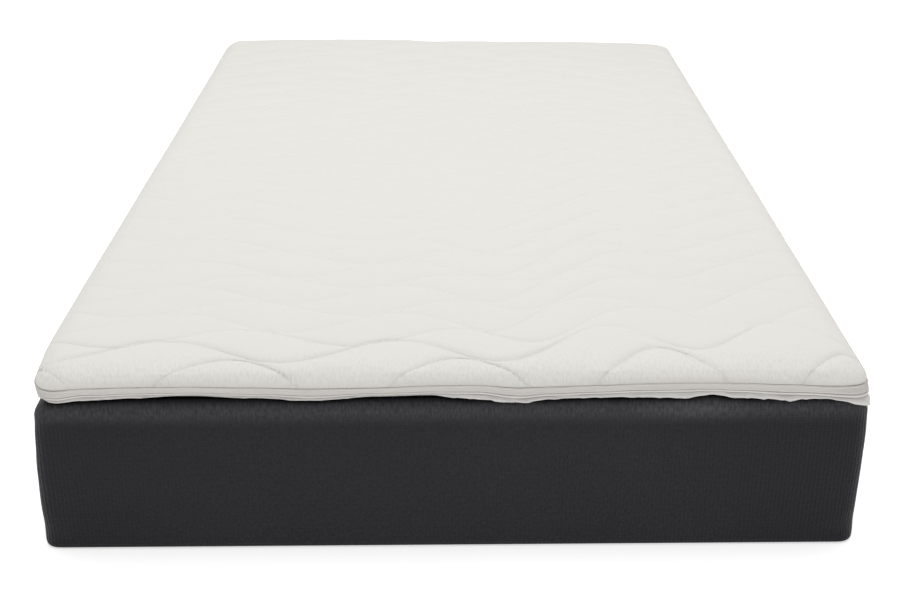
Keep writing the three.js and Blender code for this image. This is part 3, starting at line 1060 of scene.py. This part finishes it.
def makeMattress():
    halfX, halfY = bed.width / 2, bed.length / 2
    across = sidePlaces(halfX, mattress.corner, mattress.stepsAcross)
    along = sidePlaces(halfY, mattress.corner, mattress.stepsAlong)
    levels = [(mattress.topRadius, bed.height)] + mattressLevels()
    piece, column, row, level = addGridWithSides(
        "knittedMattress", len(across) - 1, len(along) - 1, len(levels) - 1)
    placed = np.zeros((len(level), 3))
    for number, (inset, height) in enumerate(levels):
        wide, long = halfX - inset, halfY - inset
        radius = max(mattress.corner - inset, 2)
        x, y = roundCorner(across[column] * wide / halfX, along[row] * long / halfY, wide, long, radius)
        share = height / bed.height
        left, right, ends = rowAt(mattressSide, share)
        smaller = mattress.smallerBy if 0 < number and height > mattress.footRadius else 0
        x = x * (1 + (np.where(x < 0, left, right) - smaller) / wide)
        y = y * (1 + (ends - smaller) / long)
        placeLevel(placed, level == number, x, y, height)
    placePoints(piece, laidAskew(placed) * mm)
    pointFacesOut(piece)

    # the foot and the middle of the top, under the topper, are held
    clear = mattress.heldInside
    rested = (level == 0) & (np.abs(placed[:, 0]) < halfX - clear) & (np.abs(placed[:, 1]) < halfY - clear)
    held = np.where(rested | (placed[:, 2] <= mattress.footRadius), 1.0, 0.0)
    inflate(piece, held, mattress.pressure, mattress.swellCap)
    subdivideOnce(piece)
    closeUnderside(piece)
    points = pointsOf(piece) / mm
    points[:, 2] = np.clip(points[:, 2], 0, bed.height)
    # its front left corner is pressed in a little at the top
    pressed = near(np.hypot(points[:, 0] + halfX, points[:, 1] + halfY), mattress.pressedReach)
    pressed = pressed * ramp(points[:, 2], mattress.pressedFrom, 26)
    points[:, 0] += mattress.pressedIn * pressed
    placePoints(piece, points * mm)
    x, y = points[:, 0], points[:, 1]
    around = alongOutline(x, y, halfX, halfY, mattress.corner)
    saveCoverPlaces(piece, around * mm, points * mm)
    # painted shade under the topper's rim, painted sheen along the rounded edge, and painted shade towards
    # the corners
    saveNumbers(piece, "paintedRimShade", paintedRimShade(x, y, points[:, 2]))
    saveNumbers(piece, "paintedSheenShare", paintedSheenShare(x, points[:, 2]))
    saveNumbers(piece, "paintedEndShade", paintedEndShade(x))
    shadeSmooth(piece)
    return piece


# Painted shade: under the topper the cover is dark, most of all in the gap below the topper's rim
def paintedRimShade(x, y, z):
    edges = borderEdges(x, y)
    tucked, sagging = baseForm.drop
    rim = bed.height + gap - mix(tucked, sagging, edges.sag)
    resting = np.minimum(mattressTop(x, y) + 3 * gap, bed.height + gap)
    lowest, over = paintedLight.shadeAtRim
    rim = np.maximum(rim, np.minimum(resting, lowest))
    under = ramp(z, *paintedLight.shade) * (1 - 0.5 * paintedSheenMost(x))
    return np.clip(under + smooth((z - rim + over) / over), 0, 1)


# Painted sheen: along the rounded edge the cover is paler, most of all right of the middle
def paintedSheenShare(x, z):
    share, more = paintedLight.paintedSheenShare
    return ramp(z, *paintedLight.paintedSheen) * fade(z, *paintedLight.paintedSheenUpTo) * (share + more * paintedSheenMost(x))


def paintedSheenMost(x):
    middle, reach = paintedLight.paintedSheenMost
    return near(np.abs(x - middle), reach)


# Painted shade: the pale tone of the cover fades towards its corners, where less light falls
def paintedEndShade(x):
    return 1 - paintedLight.paintedEndShadeDepth * ramp(np.abs(x), *paintedLight.paintedEndShadeFrom)


# The cover's cut: round the sides its places run along the outline, and on the top and the foot
# they are x and y
def saveCoverPlaces(piece, along, points):
    faces = piece.data.polygons
    corners = readAll(piece.data.loops, "vertex_index", np.int32)
    starts = readAll(faces, "loop_start", np.int32)
    counts = readAll(faces, "loop_total", np.int32)
    normals = readAll(faces, "normal", float, 3)
    face = np.repeat(np.arange(len(starts)), counts)
    u = along[corners]
    first = u[starts][face]
    lap = 2 * (bed.width + bed.length) * mm - 8 * mattress.corner * mm * (1 - math.pi / 4)
    u = np.where(u - first > lap / 2, u - lap, np.where(first - u > lap / 2, u + lap, u))
    v = points[corners, 2]
    level = (np.abs(normals[:, 2]) > 0.8)[face]
    u = np.where(level, points[corners, 0], u)
    v = np.where(level, points[corners, 1], v)
    saveCorners(piece, "coverCut", np.column_stack([u, v]))


# Materials

# Adds a node with its settings, feeds its inputs and gives one of its outputs
def addNode(tree, kind, inputs, output=0, **settings):
    node = tree.nodes.new("ShaderNode" + kind)
    for name, value in settings.items():
        setattr(node, name, value)
    feed(tree, node, inputs)
    return node.outputs[output]


def calculate(tree, operation, a, b=0.0):
    return addNode(tree, "Math", {0: a, 1: b}, operation=operation)


def times(tree, a, b):
    return calculate(tree, "MULTIPLY", a, b)


def plus(tree, a, b):
    return calculate(tree, "ADD", a, b)


# A sum of parts, each times its share
def summed(tree, *parts):
    total = times(tree, *parts[0])
    for part, share in parts[1:]:
        total = plus(tree, total, times(tree, part, share))
    return total


def oneLess(tree, value):
    return calculate(tree, "SUBTRACT", 1.0, value)


# Noise at places, which are first stretched by a scale for each axis
def noise(tree, places, scale, detail=2.0):
    stretched = addNode(tree, "VectorMath", {0: places, 1: scale}, operation="MULTIPLY")
    facts = {"Vector": stretched, "Scale": 1.0, "Detail": detail, "Roughness": 0.5}
    return addNode(tree, "TexNoise", facts, "Fac")


def split(tree, places):
    return addNode(tree, "SeparateXYZ", {0: places}).node.outputs


def uvOf(tree, name):
    return addNode(tree, "UVMap", {}, uv_map=name)


def objectPlaces(tree):
    return addNode(tree, "TexCoord", {}, "Object")


def stored(tree, name):
    return addNode(tree, "Attribute", {}, "Fac", attribute_name=name)


def blendColours(tree, share, first, second):
    return addNode(tree, "Mix", {0: share, 6: first, 7: second}, 2, data_type="RGBA")


def bump(tree, height, distance):
    return addNode(tree, "Bump", {"Strength": 1.0, "Distance": distance, "Height": height})


def range01(tree, value, low, high):
    return addNode(tree, "MapRange", {"Value": value, "From Min": low, "From Max": high})


def ripple(tree, place, pitch, turn=0.0):
    angle = times(tree, place, 2 * math.pi / pitch)
    return calculate(tree, "COSINE", plus(tree, angle, turn))


darkKnit = SimpleNamespace(
    colour=(0.006, 0.006, 0.0085, 1),
    paler=(0.024, 0.024, 0.029, 1),
    # the colour of the painted sheen along the rounded edge
    paintedSheen=(0.078, 0.078, 0.084, 1),
    # the colour of the painted shade under the topper
    shaded=(0.001, 0.001, 0.001, 1),
    ribPitch=6.0 * mm,
    stitchPitch=4.2 * mm,
    ribDepth=1.0 * mm,
    wander=1.6 * mm,
    ribShare=0.35,
    stitchShare=0.12,
    grainShare=1.6,
    grain=(330, 150, 1),
    # specks of the painted sheen
    sheenSpecks=(330, 120, 1),
)


def makeDarkKnit():
    material, tree, shader = newMaterial("darkKnit")
    cut = uvOf(tree, "coverCut")
    u, v, _ = split(tree, cut)
    wander = noise(tree, cut, (60, 9, 1))
    shifted = plus(tree, u, times(tree, wander, darkKnit.wander))
    rib = ripple(tree, shifted, darkKnit.ribPitch)
    stitch = ripple(tree, v, darkKnit.stitchPitch)
    broken = noise(tree, cut, darkKnit.grain)
    height = summed(tree, (rib, darkKnit.ribShare), (stitch, darkKnit.stitchShare),
                    (broken, darkKnit.grainShare))
    patches = noise(tree, objectPlaces(tree), (3, 3, 3), 3.0)
    tone = summed(tree, (range01(tree, broken, 0.3, 0.75), 0.6), (patches, 0.4))
    # painted shade: the pale tone fades towards the corners
    tone = times(tree, tone, stored(tree, "paintedEndShade"))
    colour = blendColours(tree, tone, darkKnit.colour, darkKnit.paler)
    # painted light: the cover is paler higher up, as it is lit more from above
    high = split(tree, objectPlaces(tree))[2]
    paintedTopLight = times(tree, range01(tree, high, 0.0, 0.26), 0.3)
    colour = blendColours(tree, paintedTopLight, colour, darkKnit.paler)
    # a painted sheen makes the cover paler in specks along the rounded edge, and painted shade makes it
    # dark under the topper
    sheenSpecks = range01(tree, noise(tree, cut, darkKnit.sheenSpecks), 0.35, 0.65)
    edge = plus(tree, times(tree, sheenSpecks, 0.5), 0.35)
    edge = times(tree, edge, stored(tree, "paintedSheenShare"))
    colour = blendColours(tree, edge, colour, darkKnit.paintedSheen)
    under = stored(tree, "paintedRimShade")
    colour = blendColours(tree, under, colour, darkKnit.shaded)
    # the painted shade also takes away the specular and the sheen
    outsidePaintedShade = oneLess(tree, under)
    feed(tree, shader, {
        "Base Color": colour,
        "Roughness": 0.66,
        "Specular IOR Level": times(tree, outsidePaintedShade, 0.2),
        "Sheen Weight": times(tree, outsidePaintedShade, 0.04),
        "Sheen Roughness": 0.4,
        "Normal": bump(tree, height, darkKnit.ribDepth),
    })
    return material


whiteKnit = SimpleNamespace(
    colour=(0.79, 0.775, 0.735, 1),
    hollow=(0.765, 0.75, 0.71, 1),
    opened=(0.67, 0.655, 0.615, 1),
    seamShadeColour=(0.62, 0.605, 0.57, 1),
    pillow=1.6 * mm,
    pillowWidth=0.016,
    columnPitch=5.4 * mm,
    secondPitch=7.6 * mm,
    dashes=(340, 90, 1),  # in a metre, across and along
    depth=0.85 * mm,
    creaseDepth=0.45 * mm,
)


def makeWhiteKnit():
    material, tree, shader = newMaterial("whiteKnit")
    cut = uvOf(tree, "clothCut")
    u, v, _ = split(tree, cut)
    column = ripple(tree, u, whiteKnit.columnPitch)
    second = ripple(tree, u, whiteKnit.secondPitch, 1.0)
    dash = noise(tree, cut, whiteKnit.dashes, 1.0)
    ribs = summed(tree, (column, 0.12), (second, 0.08))
    height = times(tree, ribs, range01(tree, dash, 0.3, 0.6))
    height = plus(tree, height, times(tree, dash, 0.8))
    part = calculate(tree, "FRACT", stored(tree, "stitchPhase"))
    part = calculate(tree, "MINIMUM", part, oneLess(tree, part))
    away = times(tree, part, stored(tree, "channelRoom"))
    thread = range01(tree, away, 0.0002, 0.0028)
    thread = times(tree, thread, range01(tree, stored(tree, "footShare"), -0.4, 1.0))
    relaxed = range01(tree, stored(tree, "shoulderShare"), -0.2, 1.0)
    height = times(tree, height, relaxed)
    knitted = bump(tree, height, whiteKnit.depth)
    crease = bump(tree, thread, whiteKnit.creaseDepth)
    feed(tree, crease.node, {"Normal": knitted})
    # beside the lines at the foot the filling stands up like a pillow
    fall = oneLess(tree, range01(tree, away, 0.0, whiteKnit.pillowWidth))
    pillow = times(tree, calculate(tree, "POWER", fall, 2.0), stored(tree, "footShare"))
    pillow = bump(tree, oneLess(tree, pillow), whiteKnit.pillow)
    feed(tree, pillow.node, {"Normal": crease})
    patches = noise(tree, cut, (2.2, 1.6, 1), 3.0)
    tone = summed(tree, (range01(tree, dash, 0.2, 0.6), 0.4), (patches, 0.6))
    colour = blendColours(tree, tone, whiteKnit.hollow, whiteKnit.colour)
    # the hollows between the stitches open, and look darker, where the cloth is pulled over the edge
    opened = times(tree, range01(tree, dash, 0.52, 0.36), stored(tree, "openShare"))
    colour = blendColours(tree, times(tree, opened, 0.4), colour, whiteKnit.opened)
    # painted shade just above the seam
    paintedSeamShadeShare = times(tree, stored(tree, "paintedSeamShade"), 0.6)
    feed(tree, shader, {
        "Base Color": blendColours(tree, paintedSeamShadeShare, colour, whiteKnit.seamShadeColour),
        "Roughness": 0.9,
        "Specular IOR Level": 0.15,
        "Sheen Weight": 0.05,
        "Normal": pillow,
    })
    return material


# Colour, pitch of the weave, depth of its bump
wovenCloths = {
    "band": ((0.625, 0.6, 0.57, 1), 1.1 * mm, 0.2 * mm),
    "welt": ((0.74, 0.72, 0.69, 1), 1.1 * mm, 0.2 * mm),
    "base": ((0.7, 0.685, 0.66, 1), 1.3 * mm, 0.3 * mm),
}


def woven(kind):
    colour, pitch, depth = wovenCloths[kind]
    material, tree, shader = newMaterial(kind + "Cloth")
    cut = uvOf(tree, "clothCut")
    u, v, _ = split(tree, cut)
    warp = ripple(tree, u, pitch)
    weft = ripple(tree, v, pitch * 0.8)
    creases = noise(tree, cut, (90, 260, 1), 3.0)
    height = summed(tree, (times(tree, warp, weft), 0.3), (creases, 2.5))
    # painted shade: the low places of the creases are darker
    creaseShadeColour = tuple(0.93 * c for c in colour[:3]) + (1,)
    feed(tree, shader, {
        "Base Color": blendColours(tree, creases, creaseShadeColour, colour),
        "Roughness": 0.85,
        "Specular IOR Level": 0.25,
        "Normal": bump(tree, height, depth),
    })
    return material


# Build, attach to the root and hide the parts they replace
def tell(name, piece):
    print(name, "ready,", len(piece.data.polygons), "faces")


body = makeMattress()
body.data.materials.append(makeDarkKnit())
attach(body, "root")
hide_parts("mattress")
tell("mattress", body)

pad = makePad()
finishPad(pad)
pad.data.materials.append(makeWhiteKnit())
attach(pad, "root")
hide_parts("topper_pad")
tell("pad", pad)

band = makeStrip("sideBand", stripSection(bandForm, bandEdges, bandWaves), bandForm.spacing)
band.data.materials.append(woven("band"))
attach(band, "root")
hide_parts("topper_band")
tell("band", band)

welt = makeStrip("sideWelt", stripSection(weltForm, weltEdges, weltWaves), weltForm.spacing)
welt.data.materials.append(woven("welt"))
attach(welt, "root")
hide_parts("topper_welt")
tell("welt", welt)

base = makeStrip("baseCloth", baseSection(), baseForm.spacing, capEnds)
base.data.materials.append(woven("base"))
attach(base, "root")
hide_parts("topper_base")
tell("base cloth", base)
